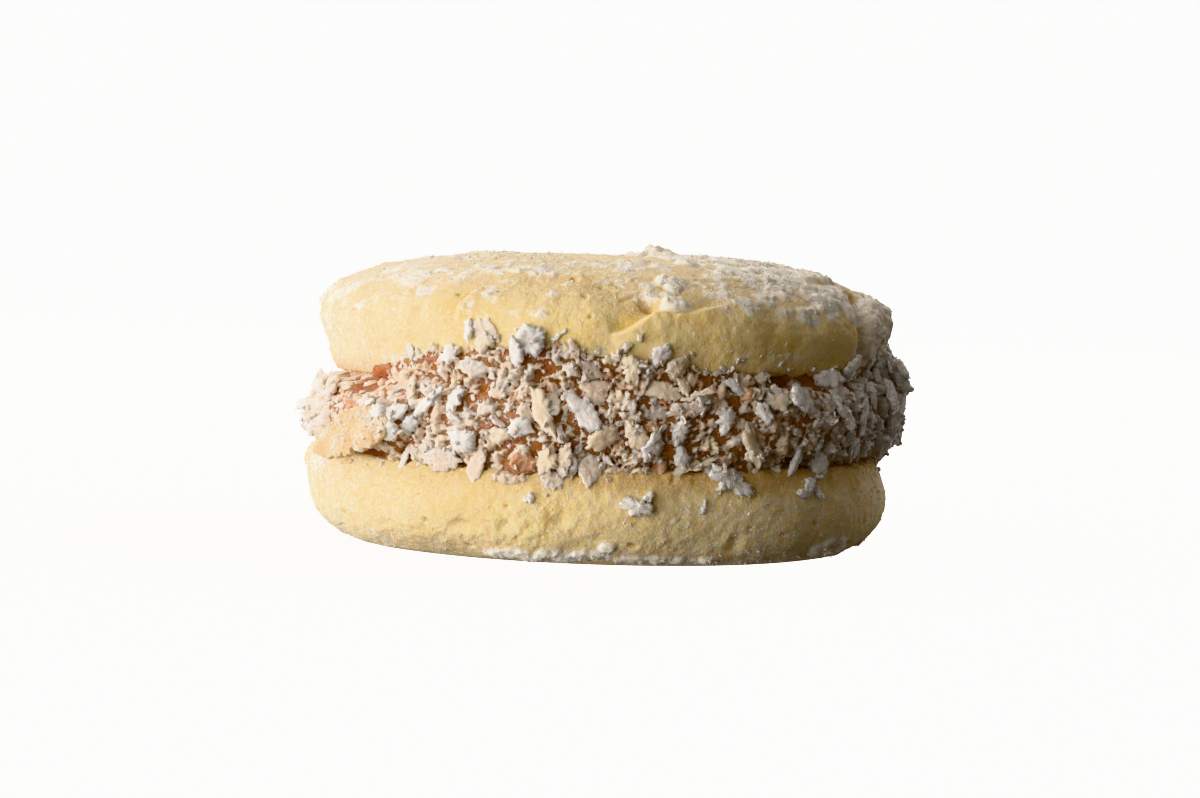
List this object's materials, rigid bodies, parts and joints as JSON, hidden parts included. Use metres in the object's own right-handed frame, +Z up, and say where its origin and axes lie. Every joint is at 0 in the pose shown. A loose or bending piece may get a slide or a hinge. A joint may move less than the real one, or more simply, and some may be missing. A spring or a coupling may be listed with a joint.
{
  "type": "alfajor cookie",
  "caption": "Round sandwich cookie: pale crumbly biscuits on either side of a thick milk-caramel layer, its side rolled in grated coconut.",
  "frame": {"origin": "middle of the flat spot on the lower biscuit that the cookie rests on", "axes": "+Z up through the layers, -Y towards the front, where the coconut climbs highest"},
  "size_m": [0.0585, 0.0579, 0.0274],
  "materials": {
    "biscuit": "matt baked cornflour crumb, dusted white",
    "caramel": "glossy milk caramel",
    "coconut": "grated dry coconut, frosted",
    "crust": "torn biscuit crust"
  },
  "bodies": {
    "root": {"lower_biscuit": "biscuit", "caramel_filling": "caramel", "coconut_coat": "coconut", "crust_chip": "crust", "upper_biscuit": "biscuit"}
  },
  "joints": []
}
